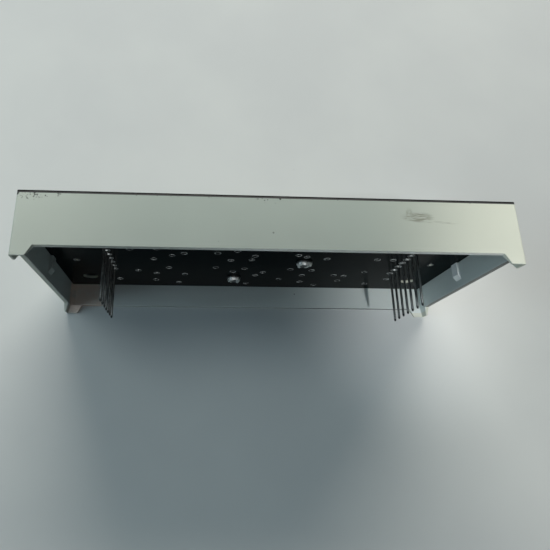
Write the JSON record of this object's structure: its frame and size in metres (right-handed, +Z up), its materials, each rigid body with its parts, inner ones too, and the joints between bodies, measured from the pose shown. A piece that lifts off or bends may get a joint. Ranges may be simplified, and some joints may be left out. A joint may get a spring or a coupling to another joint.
{
  "type": "seven segment display module",
  "caption": "Flat seven segment display module: white moulded case with a black face film, slanted digits, an inset circuit board and two rows of long solder pins behind.",
  "frame": {"origin": "middle of the long case wall that the module stands on", "axes": "+X along the module, -Y out of the lit face and +Y along the pins, +Z up across the digits"},
  "size_m": [0.09, 0.0162, 0.045],
  "materials": {
    "case_plastic": "satin moulded off-white plastic, scuffed",
    "black_film": "matt black film",
    "board_laminate": "near black solder mask, glossy",
    "solder": "tin solder",
    "diffuser_resin": "milky resin",
    "lamp_resin": "clear yellowish resin",
    "pin_metal": "dull tinned steel"
  },
  "bodies": {
    "root": {"case": "case_plastic", "face_film": "black_film", "circuit_board": "board_laminate", "plated_hole_rings": "solder", "left_pin_solder": "solder", "right_pin_solder": "solder", "digit_1_segment_a": "diffuser_resin", "digit_1_segment_b": "diffuser_resin", "digit_1_segment_c": "diffuser_resin", "digit_1_segment_d": "diffuser_resin", "digit_1_segment_e": "diffuser_resin", "digit_1_segment_f": "diffuser_resin", "digit_1_segment_g": "diffuser_resin", "digit_2_segment_a": "diffuser_resin", "digit_2_segment_b": "diffuser_resin", "digit_2_segment_c": "diffuser_resin", "digit_2_segment_d": "diffuser_resin", "digit_2_segment_e": "diffuser_resin", "digit_2_segment_f": "diffuser_resin", "digit_2_segment_g": "diffuser_resin", "digit_3_segment_a": "diffuser_resin", "digit_3_segment_b": "diffuser_resin", "digit_3_segment_c": "diffuser_resin", "digit_3_segment_d": "diffuser_resin", "digit_3_segment_e": "diffuser_resin", "digit_3_segment_f": "diffuser_resin", "digit_3_segment_g": "diffuser_resin", "digit_1_decimal_point": "diffuser_resin", "digit_2_decimal_point": "diffuser_resin", "digit_3_decimal_point": "diffuser_resin", "digit_1_lamps": "lamp_resin", "digit_2_lamps": "lamp_resin", "digit_3_lamps": "lamp_resin", "pin_1": "pin_metal", "pin_2": "pin_metal", "pin_3": "pin_metal", "pin_4": "pin_metal", "pin_5": "pin_metal", "pin_6": "pin_metal", "pin_7": "pin_metal", "pin_8": "pin_metal", "pin_9": "pin_metal", "pin_10": "pin_metal", "pin_11": "pin_metal", "pin_12": "pin_metal", "pin_13": "pin_metal", "pin_14": "pin_metal"}
  },
  "joints": []
}
